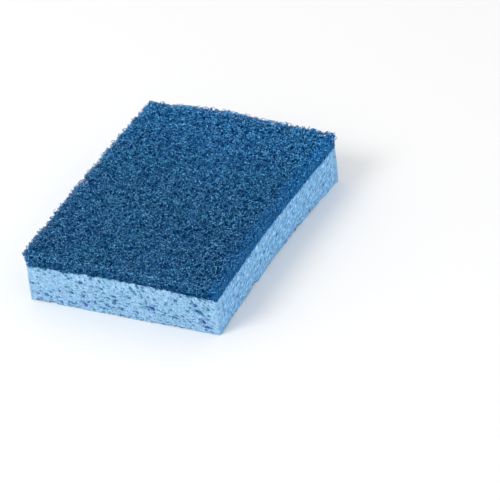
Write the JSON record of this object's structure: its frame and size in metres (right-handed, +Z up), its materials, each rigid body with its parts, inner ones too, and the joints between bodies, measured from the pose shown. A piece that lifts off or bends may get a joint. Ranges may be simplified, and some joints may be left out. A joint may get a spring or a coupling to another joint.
{
  "type": "cleaning sponge",
  "caption": "Flat rectangular scrubbing sponge: a light blue porous cellulose block with a dark blue nonwoven scouring pad laminated to its top face.",
  "frame": {"origin": "middle of the face that the sponge rests on", "axes": "+Z up through the block to the scouring pad, +Y along the long side, +X along the short side"},
  "size_m": [0.076, 0.104, 0.021],
  "materials": {
    "cellulose": "matt open-celled cellulose foam, light blue, with darker pores",
    "scouring_web": "resin-bonded web of curled synthetic fibres, dark blue, slight glint"
  },
  "bodies": {
    "root": {"sponge_block": "cellulose", "scouring_pad": "scouring_web"}
  },
  "joints": []
}
